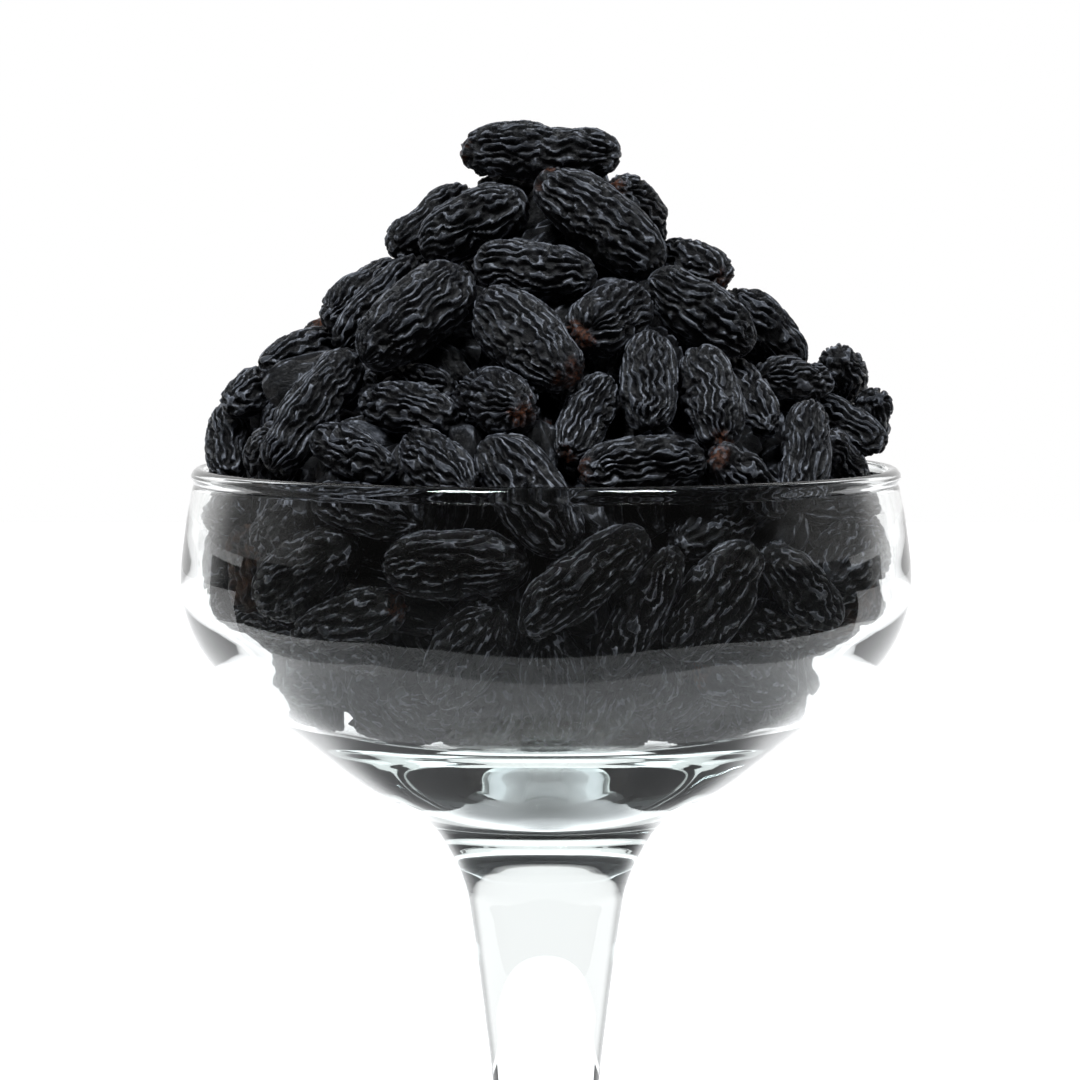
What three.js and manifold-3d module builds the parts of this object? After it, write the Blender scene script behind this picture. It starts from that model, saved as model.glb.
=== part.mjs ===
// A stemmed glass coupe heaped with black raisins. Millimetres, +Z up, origin under the middle of the foot.
// The glass is one piece. The raisins of the heap are separate solids, and those that the bowl packs tight,
// with the ones hidden under the heap, are one fused mass.
import * as THREE from "three";
import { mergeVertices } from "three/addons/utils/BufferGeometryUtils.js";
import Module from "manifold-3d";

// Driving dimensions of the glass
const RIM_HEIGHT = 120;
const FOOT_RADIUS = 34.2;
const FOOT_FLAT = { inner: 24, outer: 33 };
const FOOT_EDGE = 1.1;
const GLASS_SIDES = 40;

// Outside of the glass, from the foot's upper edge to just under the rim's bead, as [radius, height]
const OUTSIDE = [
  [33.2, 2.3], [24, 3.3], [14.5, 6], [9.2, 11], [7.1, 20], [6.9, 30], [7.6, 40.5],
  [8.8, 50.5], [9.8, 57.8], [10.6, 62.8], [12, 66.6], [14.5, 70.9], [18.9, 74.3], [24.4, 77.6],
  [33.6, 84.7], [41.1, 90.1], [46.4, 96.2], [48.8, 103.5], [48.4, 111], [47.1, 117.2],
];
// Bead round the rim, from its outer root over the top
const BEAD = [[46.9, 117.9], [47.25, 118.9], [46.8, 119.8], [46.2, 120], [45.6, 119.7]];
// Inside of the bowl, from the bead to the middle of its floor
const INSIDE = [
  [45.35, 118.8], [46.3, 114], [46.9, 107], [46.3, 101.2], [43, 95.7], [37.5, 90], [33, 86.85],
  [29.9, 85.35], [21.4, 83.4], [11.6, 81.3], [0, 79.8],
];
// Hollow under the foot, from its middle to the flat ring that the glass stands on
const UNDERSIDE = [[0, 1.8], [12, 1.45], [20, 0.7]];

// Line on which the outer raisins' centres lie, as [radius, height above the rim]
const SHELL = [
  [0, -35.8], [10.6, -34.4], [20.3, -32.4], [27.8, -30.6], [31.2, -29], [34.9, -26.3], [39.3, -21.8],
  [41.5, -17.8], [42, -13.5], [41.7, -8], [41, -3], [40.2, 1.5], [37.6, 7], [32.6, 13],
  [26.2, 19], [18.8, 25.6], [11.8, 31.2], [5.5, 37], [0, 42.6],
];
// The fused core stays this far inside that line, in the bowl and under the heap
const CORE_DEPTH = { bowl: 4.4, heap: 9 };
const CORE_SIDES = 20;

// Raisins
const SHORTEST = 15.2;
const LONGEST = 21.6;
const FILL_LENGTH = [15.5, 21];
const FILL_WIDTH = [6.8, 9.2];
const LOOSE_FORM = { sides: 12, rings: [-0.87, -0.4, 0.4, 0.87] };
const PACKED_FORM = { sides: 10, rings: [-0.87, -0.4, 0.4, 0.87] };
const UNDER_FORM = { sides: 8, rings: [-0.8, 0, 0.8] };
const ROUNDNESS = 2.7;
const RIB_DEPTH = 0.16;
const LOOSE_ABOVE = 5.2;

// Clearances
const BETWEEN_RAISINS = 0.35;
const TO_GLASS = 0.5;
const RIM_RING = { radius: 46.3, height: 118.9, thick: 1.2 };
const AROUND_LOOSE = 0.3;

// The eye that the photograph was taken from, and its focal length in pixels of the photograph
const EYE = new THREE.Vector3(-0.8, -560, RIM_HEIGHT + 31.7);
const EYE_PITCH = THREE.MathUtils.degToRad(4.25);
const FOCAL = 4200;
const PHOTO_MIDDLE = 540;
const CUP_REACH = 25;
const CROWN = 5;

// The raisins that the photograph shows, read off by eye, in its pixels and degrees:
// [across, down, apparent length, width, lean, millimetres set in, millimetres set back]
const SEEN = [
  [540, 154, 160, 64, -2, 0, 0], [597, 225, 152, 72, -38, 0, 0], [472, 222, 118, 66, 27, 0, 0],
  [436, 222, 104, 56, 36, 3, 4.5], [637, 210, 84, 52, -52, 2, 1], [693, 263, 78, 52, -22, 1, 3],
  [532, 272, 124, 60, -8, 0, 0], [366, 296, 98, 58, 32, 1, 7], [379, 300, 126, 46, 46, 1, -1],
  [418, 322, 140, 74, 42, 0, 0], [527, 345, 130, 76, -42, 0, 0], [702, 312, 124, 66, -34, 0, 0],
  [608, 318, 90, 68, 28, 1.5, 0], [762, 332, 108, 64, -48, 1, 5], [304, 353, 84, 44, 20, 1, 3],
  [298, 390, 118, 44, 40, 3, 0], [316, 408, 144, 60, 53, 0, 0], [258, 399, 74, 44, 32, 1, 3],
  [408, 377, 92, 42, -4, 7, 0], [410, 415, 96, 54, -15, 4, 0], [496, 402, 84, 66, -22, 1, 0],
  [583, 412, 92, 50, 64, 3, 0], [649, 380, 98, 58, 88, 1, 0], [710, 397, 102, 60, -78, 0, 0],
  [757, 396, 78, 42, -64, 4, 0], [798, 385, 82, 48, -14, 1, -3], [833, 384, 58, 50, -60, 1, 6],
  [838, 425, 100, 46, -40, 1, 1], [862, 438, 66, 44, -80, 0, 7], [801, 452, 106, 52, 82, 0, 0],
  [850, 458, 78, 50, -50, 1, -4], [223, 440, 78, 45, 82, 0, 0], [260, 452, 70, 50, 50, 2, -5],
  [352, 457, 92, 48, -22, 1, 0], [447, 460, 86, 58, -48, 1, 0], [530, 495, 138, 70, -56, 0, 0],
  [643, 464, 128, 62, 5, 0, 0], [742, 487, 92, 50, -46, 1, 0], [372, 514, 112, 50, -15, 1, 0],
  [292, 522, 80, 46, 50, 2, 0], [230, 514, 64, 48, 10, 0, 0], [212, 566, 66, 40, 88, 0, 0],
  [244, 562, 80, 42, -74, 1, 0], [315, 580, 116, 72, 40, 0, 0], [457, 568, 140, 68, -2, 0, 0],
  [352, 620, 112, 50, 20, 1, 0], [233, 613, 70, 50, -50, 0, 0], [270, 636, 70, 36, -8, 1, 0],
  [468, 649, 116, 72, 60, 0, 0], [577, 577, 154, 58, 40, 0, 0], [640, 612, 144, 46, 62, 0, 0],
  [708, 602, 132, 66, 55, 0, 0], [552, 682, 108, 60, -62, 0, 0], [788, 594, 104, 50, -50, 0, 0],
  [775, 626, 76, 48, -30, 2, 0], [842, 546, 84, 66, 60, 0, 0], [879, 548, 68, 38, -75, 0, 0],
  [840, 604, 76, 48, 50, 1, 0], [876, 610, 64, 38, 80, 0, 0], [835, 502, 84, 44, 10, 2, 0],
  [715, 528, 90, 50, 20, 4, 0], [346, 656, 80, 40, -8, 0, 0], [398, 697, 98, 44, -45, 0, 0],
  [306, 658, 76, 42, -20, 0, 0], [505, 702, 90, 50, 20, 0, 0], [590, 700, 76, 46, 60, 0, 0],
  [640, 696, 76, 50, 40, 0, 0], [735, 681, 100, 46, -5, 0, 0], [822, 652, 76, 42, 22, 0, 0],
  [688, 703, 84, 42, 10, 0, 0], [440, 704, 80, 44, -20, 0, 0],
  [264, 656, 72, 38, -30, 0, 0], [288, 674, 70, 38, -28, 0, 0], [318, 690, 76, 40, -22, 0, 0],
  [352, 704, 78, 40, -20, 0, 0], [392, 715, 74, 38, -12, 0, 0], [432, 720, 76, 40, -10, 0, 0],
  [487, 724, 84, 46, 15, 0, 0], [548, 724, 80, 42, -8, 0, 0], [600, 722, 80, 44, 8, 0, 0],
  [655, 718, 80, 42, 12, 0, 0], [708, 708, 76, 40, 16, 0, 0], [758, 692, 76, 40, 24, 0, 0],
  [796, 674, 72, 40, 30, 0, 0], [824, 656, 66, 38, 42, 0, 0],
];

// How the rest of the pile is filled: tries, depth under the shell line, the least gap that a try may leave
// on the far side and on the near side, and the lowest place against the rim
const FILLS = [
  { layer: "outer", tries: 7000, depth: 0, farGap: -3.2, nearGap: -0.4, lowest: -40 },
  { layer: "under", tries: 6000, depth: 5.6, farGap: -3.1, nearGap: -3.1, lowest: -12 },
];
const FILL_SEED = 7;
const FILL_IN_FRONT_BELOW = -27;
const FAR_SIDE = 3;
// While the pile settles: how readily a raisin of each layer gives way, and how firmly it keeps its place and lean
const ROUNDS = 140;
const YIELD = { seen: 0.08, outer: 0.6, under: 1 };
const HOLD = { seen: 0.07, outer: 0.01, under: 0 };
const HOLD_LEAN = { seen: 0.12, outer: 0, under: 0 };
const INWARD_PULL = 0.04;

const CLEAR_GLASS = new THREE.MeshStandardMaterial({ color: 0xe6efee, roughness: 0.03, metalness: 0, opacity: 0.3, transparent: true });
const RAISIN_SKIN = new THREE.MeshStandardMaterial({ color: 0x17181b, roughness: 0.42, metalness: 0 });

const wasm = await Module();
wasm.setup();

// Numbers from 0 to 1 in a fixed order, stretched to a range
function draws(seed) {
  let state = seed;
  return (low = 0, high = 1) => {
    state = (state * 1664525 + 1013904223) % 4294967296;
    return low + ((high - low) * state) / 4294967296;
  };
}

function glassGeometry() {
  const flatRing = [[FOOT_FLAT.inner, 0], [FOOT_FLAT.outer, 0], [FOOT_RADIUS, FOOT_EDGE]];
  const stations = [...UNDERSIDE, ...flatRing, ...OUTSIDE, ...BEAD, ...INSIDE];
  const profile = stations.map(([radius, height]) => new THREE.Vector2(radius, height));
  return new THREE.LatheGeometry(profile, GLASS_SIDES).rotateX(Math.PI / 2);
}

// Radius and outward normal of the shell line at a height above the rim
function shellAtHeight(height) {
  const z = THREE.MathUtils.clamp(height, SHELL[0][1], SHELL.at(-1)[1]);
  const upper = Math.max(SHELL.findIndex(([, top]) => z <= top), 1);
  const [a, b] = [SHELL[upper - 1], SHELL[upper]];
  const share = (z - a[1]) / (b[1] - a[1]);
  return { radius: a[0] + share * (b[0] - a[0]), normal: new THREE.Vector2(b[1] - a[1], a[0] - b[0]).normalize() };
}

const shellSteps = SHELL.slice(1).map((b, i) => Math.hypot(b[0] - SHELL[i][0], b[1] - SHELL[i][1]));
const shellLength = shellSteps.reduce((sum, step) => sum + step, 0);

// Place, outward normal and level tangent on the shell, at a length along its line and a turn about the axis
function shellFrame(along, turn) {
  let left = along;
  let i = 0;
  while (left > shellSteps[i] && i < shellSteps.length - 1) left -= shellSteps[i++];
  const [a, b] = [SHELL[i], SHELL[i + 1]];
  const share = left / shellSteps[i];
  const radius = a[0] + share * (b[0] - a[0]);
  const [out, up] = [(b[1] - a[1]) / shellSteps[i], (a[0] - b[0]) / shellSteps[i]];
  const [c, s] = [Math.cos(turn), Math.sin(turn)];
  return {
    place: new THREE.Vector3(radius * c, radius * s, RIM_HEIGHT + a[1] + share * (b[1] - a[1])),
    normal: new THREE.Vector3(out * c, out * s, up),
    level: new THREE.Vector3(-s, c, 0),
  };
}

// The balls that stand for a raisin while the pile settles: how far along its axis, and their radii
function ballsOf({ length, width }) {
  const end = 0.385 * width;
  const reach = length / 2 - end;
  return {
    offsets: [-reach, -0.52 * reach, 0, 0.52 * reach, reach],
    radii: [end, 0.475 * width, 0.5 * width, 0.475 * width, end],
  };
}

// A raisin of the photograph, laid on the shell where its pixel falls
function seenRaisin([across, down, apparent, thick, lean, deep, back]) {
  const ahead = new THREE.Vector3(0, Math.cos(EYE_PITCH), -Math.sin(EYE_PITCH));
  const up = new THREE.Vector3(0, Math.sin(EYE_PITCH), Math.cos(EYE_PITCH));
  const ray = ahead.clone().addScaledVector(up, (PHOTO_MIDDLE - down) / FOCAL);
  ray.x += (across - PHOTO_MIDDLE) / FOCAL;
  const at = (y) => EYE.clone().addScaledVector(ray, (y - EYE.y) / ray.y);
  let y = back > 0 ? 0 : -CUP_REACH;
  for (let step = 0; step < 12; step++) {
    const point = at(y);
    const radius = Math.max(shellAtHeight(point.z - RIM_HEIGHT).radius - deep, 1);
    const depth = Math.sqrt(Math.max(radius * radius - point.x * point.x, 0));
    y = 0.6 * y + 0.4 * (back - depth);
  }
  const centre = at(y);
  const profileNormal = shellAtHeight(centre.z - RIM_HEIGHT).normal;
  const level = Math.max(Math.hypot(centre.x, centre.y), CROWN);
  const normal = new THREE.Vector3(
    (centre.x / level) * profileNormal.x, (centre.y / level) * profileNormal.x, profileNormal.y);
  const scale = FOCAL / centre.clone().sub(EYE).dot(ahead);
  const angle = THREE.MathUtils.degToRad(lean);
  const inPicture = new THREE.Vector3(Math.cos(angle), 0, Math.sin(angle));
  // it lies along the shell, unless its apparent length says that it points towards or away from the eye
  let away = THREE.MathUtils.clamp((-inPicture.dot(normal) * normal.y) / (normal.y ** 2 + 0.15), -0.8, 0.8);
  const half = apparent / scale / 2;
  const thin = thick / scale / 2;
  const full = THREE.MathUtils.clamp(
    half * Math.sqrt(1 + away * away), Math.max(1.75 * thin, SHORTEST / 2), LONGEST / 2);
  const shown = Math.max(half * half - thin * thin, 0.02) / Math.max(full * full - thin * thin, 0.03);
  const steep = Math.sqrt(Math.max(1 / THREE.MathUtils.clamp(shown, 0.12, 1) - 1, 0));
  if (steep > Math.abs(away)) away = steep * ((Math.abs(away) > 0.02 ? away : Math.sin(angle) + 1e-9) < 0 ? -1 : 1);
  return {
    centre, axis: inPicture.setY(away).normalize(), length: 2 * full, width: 2 * thin, layer: "seen",
  };
}

// Least gap between a new raisin and those already placed
function gapTo(raisins, candidate) {
  const mine = ballsOf(candidate);
  let least = Infinity;
  for (const other of raisins) {
    if (other.centre.distanceTo(candidate.centre) > LONGEST + 4) continue;
    const theirs = ballsOf(other);
    for (let i = 0; i < 5; i++)
      for (let j = 0; j < 5; j++) {
        const between = candidate.centre.clone().addScaledVector(candidate.axis, mine.offsets[i])
          .distanceTo(other.centre.clone().addScaledVector(other.axis, theirs.offsets[j]));
        least = Math.min(least, between - mine.radii[i] - theirs.radii[j]);
      }
  }
  return least;
}

// Raisins dropped at random where there is room, for what the photograph doesn't show
function fill(raisins) {
  const draw = draws(FILL_SEED);
  for (const { layer, tries, depth, farGap, nearGap, lowest } of FILLS)
    for (let i = 0; i < tries; i++) {
      const [along, pick, turn, roll] = [draw(0, shellLength), draw(), draw(0, 2 * Math.PI), draw(0, Math.PI)];
      const [length, width, dip] = [draw(...FILL_LENGTH), draw(...FILL_WIDTH), draw(-0.25, 0.25)];
      const { place, normal, level } = shellFrame(along, turn);
      if (pick * 42 > Math.hypot(place.x, place.y) || place.z < RIM_HEIGHT + lowest) continue;
      const near = place.y < FAR_SIDE;
      if (layer === "outer" && near && place.z > RIM_HEIGHT + FILL_IN_FRONT_BELOW) continue;
      const rising = normal.clone().cross(level);
      const axis = level.clone().multiplyScalar(Math.cos(roll)).addScaledVector(rising, Math.sin(roll))
        .addScaledVector(normal, dip).normalize();
      const candidate = { centre: place.addScaledVector(normal, -depth), axis, length, width, layer };
      if (gapTo(raisins, candidate) >= (near ? nearGap : farGap)) raisins.push(candidate);
    }
}

// How far a ball has to move off the inside of the bowl, in the plane of its radius and height
function offGlass(radius, height, needed) {
  if (height > RIM_HEIGHT) {
    const [dr, dz] = [radius - RIM_RING.radius, height - RIM_RING.height];
    const distance = Math.hypot(dr, dz);
    const move = Math.max(needed + RIM_RING.thick - distance, 0) / distance;
    return [dr * move, dz * move];
  }
  let best = { distance: Infinity, signed: Infinity, normal: [0, 0] };
  for (let i = 1; i < INSIDE.length; i++) {
    const [b, a] = [INSIDE[i - 1], INSIDE[i]];
    const [dr, dz] = [b[0] - a[0], b[1] - a[1]];
    const step = Math.hypot(dr, dz);
    const inward = [-dz / step, dr / step];
    const share = THREE.MathUtils.clamp(((radius - a[0]) * dr + (height - a[1]) * dz) / (step * step), 0, 1);
    const [gr, gz] = [radius - a[0] - share * dr, height - a[1] - share * dz];
    const distance = Math.hypot(gr, gz);
    if (distance < best.distance) {
      const signed = gr * inward[0] + gz * inward[1] < 0 ? -distance : distance;
      best = { distance, signed, normal: inward };
    }
  }
  const move = Math.max(needed - best.signed, 0);
  return [best.normal[0] * move, best.normal[1] * move];
}

// Pushes overlapping raisins apart and off the glass, while those of the heap sink inwards and all keep near
// the place that they were given
function settle(raisins) {
  const start = raisins.map(({ centre, axis }) => ({ centre: centre.clone(), axis: axis.clone() }));
  const shapes = raisins.map(ballsOf);
  for (let round = 0; round < ROUNDS; round++) {
    const ease = Math.max(0, 1 - round / (0.7 * ROUNDS));
    const balls = raisins.map(({ centre, axis }, r) =>
      shapes[r].offsets.map((offset) => centre.clone().addScaledVector(axis, offset)));
    const moves = balls.map((row) => row.map(() => new THREE.Vector3()));
    const touches = raisins.map(() => 0);
    for (let a = 0; a < raisins.length; a++)
      for (let b = a + 1; b < raisins.length; b++) {
        if (raisins[a].centre.distanceTo(raisins[b].centre) > LONGEST + 2) continue;
        for (let i = 0; i < 5; i++)
          for (let j = 0; j < 5; j++) {
            const apart = balls[a][i].clone().sub(balls[b][j]);
            const distance = apart.length() + 1e-9;
            const over = shapes[a].radii[i] + shapes[b].radii[j] + BETWEEN_RAISINS - distance;
            if (over <= 0) continue;
            const share = YIELD[raisins[a].layer] / (YIELD[raisins[a].layer] + YIELD[raisins[b].layer]);
            moves[a][i].addScaledVector(apart, (share * over) / distance);
            moves[b][j].addScaledVector(apart, ((share - 1) * over) / distance);
            touches[a]++;
            touches[b]++;
          }
      }
    raisins.forEach((raisin, r) => {
      const { offsets, radii } = shapes[r];
      balls[r].forEach((ball, i) => {
        const radius = Math.hypot(ball.x, ball.y) + 1e-9;
        const [dr, dz] = offGlass(radius, ball.z, radii[i] + TO_GLASS);
        if (dr === 0 && dz === 0) return;
        moves[r][i].add(new THREE.Vector3((dr * ball.x) / radius, (dr * ball.y) / radius, dz));
        touches[r]++;
      });
      const shift = new THREE.Vector3();
      const turn = new THREE.Vector3();
      moves[r].forEach((move, i) => {
        shift.add(move);
        turn.addScaledVector(move, offsets[i]);
      });
      turn.multiplyScalar(0.5 / offsets.reduce((sum, offset) => sum + offset * offset, 0));
      turn.addScaledVector(start[r].axis.clone().sub(raisin.axis), HOLD_LEAN[raisin.layer] * ease);
      turn.addScaledVector(raisin.axis, -turn.dot(raisin.axis));
      raisin.axis.add(turn).normalize();
      const level = Math.max(Math.hypot(raisin.centre.x, raisin.centre.y), 1e-6);
      const pull = raisin.centre.z > RIM_HEIGHT + 2 ? INWARD_PULL * ease : 0;
      const inward = new THREE.Vector3(-0.6 * raisin.centre.x / level, -0.6 * raisin.centre.y / level, -0.8);
      const home = start[r].centre.clone().sub(raisin.centre);
      raisin.centre.addScaledVector(shift, 1.3 / Math.max(touches[r], 1))
        .addScaledVector(home, HOLD[raisin.layer] * ease).addScaledVector(inward, pull);
    });
  }
}

// A raisin: a blunt spindle with lengthwise ribs that wander from ring to ring. grow makes it larger all round.
function raisinGeometry({ centre, axis, length, width }, index, { sides, rings }, grow = 0) {
  const draw = draws(1000 + 37 * index);
  const [long, wide] = [length / 2 + grow, width / 2 + grow];
  const points = [];
  rings.forEach((place, ring) => {
    const ringRadius = wide * (1 - Math.abs(place) ** ROUNDNESS) ** (1 / ROUNDNESS);
    const wander = draw(-0.16, 0.16);
    for (let side = 0; side < sides; side++) {
      const angle = ((side + wander + 0.25 * ring) * 2 * Math.PI) / sides;
      const radius = ringRadius * (1 - (side % 2 ? RIB_DEPTH : 0) - draw(0, 0.04));
      points.push(new THREE.Vector3(place * long, radius * Math.cos(angle), radius * Math.sin(angle)));
    }
  });
  const tips = [points.length, points.length + 1];
  points.push(new THREE.Vector3(-long, 0, 0), new THREE.Vector3(long, 0, 0));
  const faces = [];
  for (let side = 0; side < sides; side++) {
    const next = (side + 1) % sides;
    for (let ring = 0; ring + 1 < rings.length; ring++) {
      const [a, b] = [ring * sides + side, ring * sides + next];
      const [c, d] = [a + sides, b + sides];
      // the shorter diagonal follows the rib
      if (points[a].distanceTo(points[d]) < points[b].distanceTo(points[c])) faces.push(a, b, d, a, d, c);
      else faces.push(a, b, c, b, d, c);
    }
    const last = (rings.length - 1) * sides;
    faces.push(tips[0], next, side, tips[1], last + side, last + next);
  }
  const geometry = new THREE.BufferGeometry();
  const turned = new THREE.Quaternion().setFromUnitVectors(new THREE.Vector3(1, 0, 0), axis);
  points.forEach((point) => point.applyQuaternion(turned).add(centre));
  geometry.setAttribute("position", new THREE.Float32BufferAttribute(points.flatMap((p) => p.toArray()), 3));
  geometry.setIndex(faces);
  geometry.computeVertexNormals();
  return geometry;
}

// Lump in the middle of the pile, which the packed raisins stand out of
function coreGeometry() {
  const profile = SHELL.map(([radius, height], i) => {
    const [before, after] = [SHELL[Math.max(i - 1, 0)], SHELL[Math.min(i + 1, SHELL.length - 1)]];
    const normal = new THREE.Vector2(after[1] - before[1], before[0] - after[0]).normalize();
    const depth = height < 0 ? CORE_DEPTH.bowl : CORE_DEPTH.heap;
    return new THREE.Vector2(Math.max(radius - depth * normal.x, 0), RIM_HEIGHT + height - depth * normal.y);
  }).filter((_, i) => i % 2 === 0 || i === SHELL.length - 1);
  const top = profile.at(-1).y;
  const rising = profile.filter((p, i) => i === 0 || (p.y < top - 1 && p.x > 0.5));
  const closed = [new THREE.Vector2(0, rising[0].y), ...rising.slice(1), new THREE.Vector2(0, top)];
  return new THREE.LatheGeometry(closed, CORE_SIDES).rotateX(Math.PI / 2);
}

function solidOf(geometry) {
  const bare = geometry.clone();
  bare.deleteAttribute("normal");
  bare.deleteAttribute("uv");
  const merged = mergeVertices(bare, 1e-3);
  return new wasm.Manifold(new wasm.Mesh({
    numProp: 3,
    vertProperties: new Float32Array(merged.attributes.position.array),
    triVerts: new Uint32Array(merged.index.array),
  }));
}

function geometryOf(solid) {
  const mesh = solid.getMesh();
  const geometry = new THREE.BufferGeometry();
  geometry.setAttribute("position", new THREE.BufferAttribute(new Float32Array(mesh.vertProperties), 3));
  geometry.setIndex(new THREE.BufferAttribute(new Uint32Array(mesh.triVerts), 1));
  geometry.computeVertexNormals();
  return geometry;
}

function named(name, geometry, material) {
  const mesh = new THREE.Mesh(geometry, material);
  mesh.name = name;
  return mesh;
}

const raisins = SEEN.map(seenRaisin);
fill(raisins);
settle(raisins);

const isLoose = ({ centre, layer }) => layer !== "under" && centre.z > RIM_HEIGHT + LOOSE_ABOVE;
const numbered = raisins.map((raisin, index) => ({ raisin, index }));
const loose = numbered.filter(({ raisin }) => isLoose(raisin));
const packed = numbered.filter(({ raisin }) => !isLoose(raisin));

let packedSolid = solidOf(coreGeometry());
for (const { raisin, index } of packed) {
  const form = raisin.layer === "under" ? UNDER_FORM : PACKED_FORM;
  packedSolid = packedSolid.add(solidOf(raisinGeometry(raisin, index, form)));
}
for (const { raisin, index } of loose)
  packedSolid = packedSolid.subtract(solidOf(raisinGeometry(raisin, index, LOOSE_FORM, AROUND_LOOSE)));
// the largest body is kept: the hollows that fusing sealed are filled by that, and loose scraps dropped
packedSolid = packedSolid.decompose().reduce((most, body) => (body.volume() > most.volume() ? body : most));

const coupe = new THREE.Group();
coupe.add(named("glass_coupe", glassGeometry(), CLEAR_GLASS));
coupe.add(named("raisins_in_bowl", geometryOf(packedSolid), RAISIN_SKIN));
loose.forEach(({ raisin, index }, i) => {
  coupe.add(named(`raisin_${String(i + 1).padStart(2, "0")}`, raisinGeometry(raisin, index, LOOSE_FORM), RAISIN_SKIN));
});

export default coupe;
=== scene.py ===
"""Bowl of black raisins: a stemmed glass coupe, filled and heaped with wrinkled black raisins.

Lengths are millimetres until a mesh, a light or the camera is made, which are in metres.
"""

from __future__ import annotations

import logging
import math
from dataclasses import dataclass, field
from enum import Enum
from itertools import product

import bpy
import numpy as np
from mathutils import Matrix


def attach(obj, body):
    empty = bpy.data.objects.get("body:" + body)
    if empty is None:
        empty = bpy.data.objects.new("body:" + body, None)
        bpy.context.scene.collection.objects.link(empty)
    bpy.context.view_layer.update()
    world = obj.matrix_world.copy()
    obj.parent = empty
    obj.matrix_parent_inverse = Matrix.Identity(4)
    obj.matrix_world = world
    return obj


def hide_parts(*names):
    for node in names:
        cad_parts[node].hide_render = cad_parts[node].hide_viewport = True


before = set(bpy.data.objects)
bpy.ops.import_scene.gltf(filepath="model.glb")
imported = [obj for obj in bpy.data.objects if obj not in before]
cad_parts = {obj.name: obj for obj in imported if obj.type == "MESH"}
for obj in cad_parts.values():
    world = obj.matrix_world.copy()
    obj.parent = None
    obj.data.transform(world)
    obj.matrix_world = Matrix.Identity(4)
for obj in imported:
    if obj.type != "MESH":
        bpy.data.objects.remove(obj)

LOG = logging.getLogger("raisins")
METRES = 0.001
RIM_HEIGHT = 120.0

Line = list[tuple[float, float]]
Corners = tuple[tuple[float, float], ...]
Colour = tuple[float, float, float, float]

# The line down the inside of the bowl: distance from the axis, height
INSIDE = [
    (45.35, 118.8), (46.3, 114), (46.9, 107), (46.3, 101.2), (43, 95.7), (37.5, 90), (33, 86.85),
    (29.9, 85.35), (21.4, 83.4), (11.6, 81.3), (0, 79.8),
]


def smooth_line(stations: Line, steps: int) -> np.ndarray:
    """Draws a smooth line through stations.

    Args:
        stations: Points that the line passes through.
        steps: Pieces between each two stations.

    Returns:
        The line's points, one row each.
    """
    given = np.array(stations, float)
    ends = np.vstack([2 * given[0] - given[1], given, 2 * given[-1] - given[-2]])
    line = [given[0]]
    for a, b, c, d in zip(ends, ends[1:], ends[2:], ends[3:]):
        before, span, after = (math.sqrt(np.linalg.norm(q - p)) + 1e-6 for p, q in ((a, b), (b, c), (c, d)))
        out = (c - b) / span - (c - a) / (before + span) + (b - a) / before
        back = (d - c) / after - (d - b) / (span + after) + (c - b) / span
        for step in range(1, steps + 1):
            t = step / steps
            line.append(
                (2 * t**3 - 3 * t**2 + 1) * b
                + (t**3 - 2 * t**2 + t) * span * out
                + (3 * t**2 - 2 * t**3) * c
                + (t**3 - t**2) * span * back
            )
    return np.array(line)


def add_object(name: str, data: bpy.types.ID) -> bpy.types.Object:
    """Adds an object to the scene.

    Args:
        name: Its name.
        data: Its mesh, light or camera.

    Returns:
        The object.
    """
    made = bpy.data.objects.new(name, data)
    bpy.context.scene.collection.objects.link(made)
    return made


def mesh_piece(
    name: str, points: np.ndarray, quads: np.ndarray, triangles: np.ndarray, values: dict[str, np.ndarray]
) -> bpy.types.Object:
    """Makes a smooth mesh that rides on the object's one body.

    Args:
        name: Name of the piece.
        points: Its vertices in millimetres.
        quads: Four vertex numbers for each face.
        triangles: Three vertex numbers for each face.
        values: Numbers or vectors on the vertices, by name, for the finish to read.

    Returns:
        The new object.
    """
    mesh = bpy.data.meshes.new(name)
    corners = np.concatenate([quads.ravel(), triangles.ravel()]).astype(np.int32)
    sizes = np.concatenate([np.full(len(quads), 4), np.full(len(triangles), 3)])
    starts = np.concatenate([[0], np.cumsum(sizes)[:-1]]).astype(np.int32)
    mesh.vertices.add(len(points))
    mesh.vertices.foreach_set("co", (points * METRES).astype(np.float32).ravel())
    mesh.loops.add(len(corners))
    mesh.loops.foreach_set("vertex_index", corners)
    mesh.polygons.add(len(sizes))
    mesh.polygons.foreach_set("loop_start", starts)
    mesh.polygons.foreach_set("use_smooth", np.ones(len(sizes), bool))
    for key, value in values.items():
        kind, slot = ("FLOAT_VECTOR", "vector") if value.ndim == 2 else ("FLOAT", "value")
        mesh.attributes.new(key, kind, "POINT").data.foreach_set(slot, value.astype(np.float32).ravel())
    mesh.validate()
    mesh.update()
    piece = add_object(name, mesh)
    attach(piece, "root")
    return piece


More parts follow.
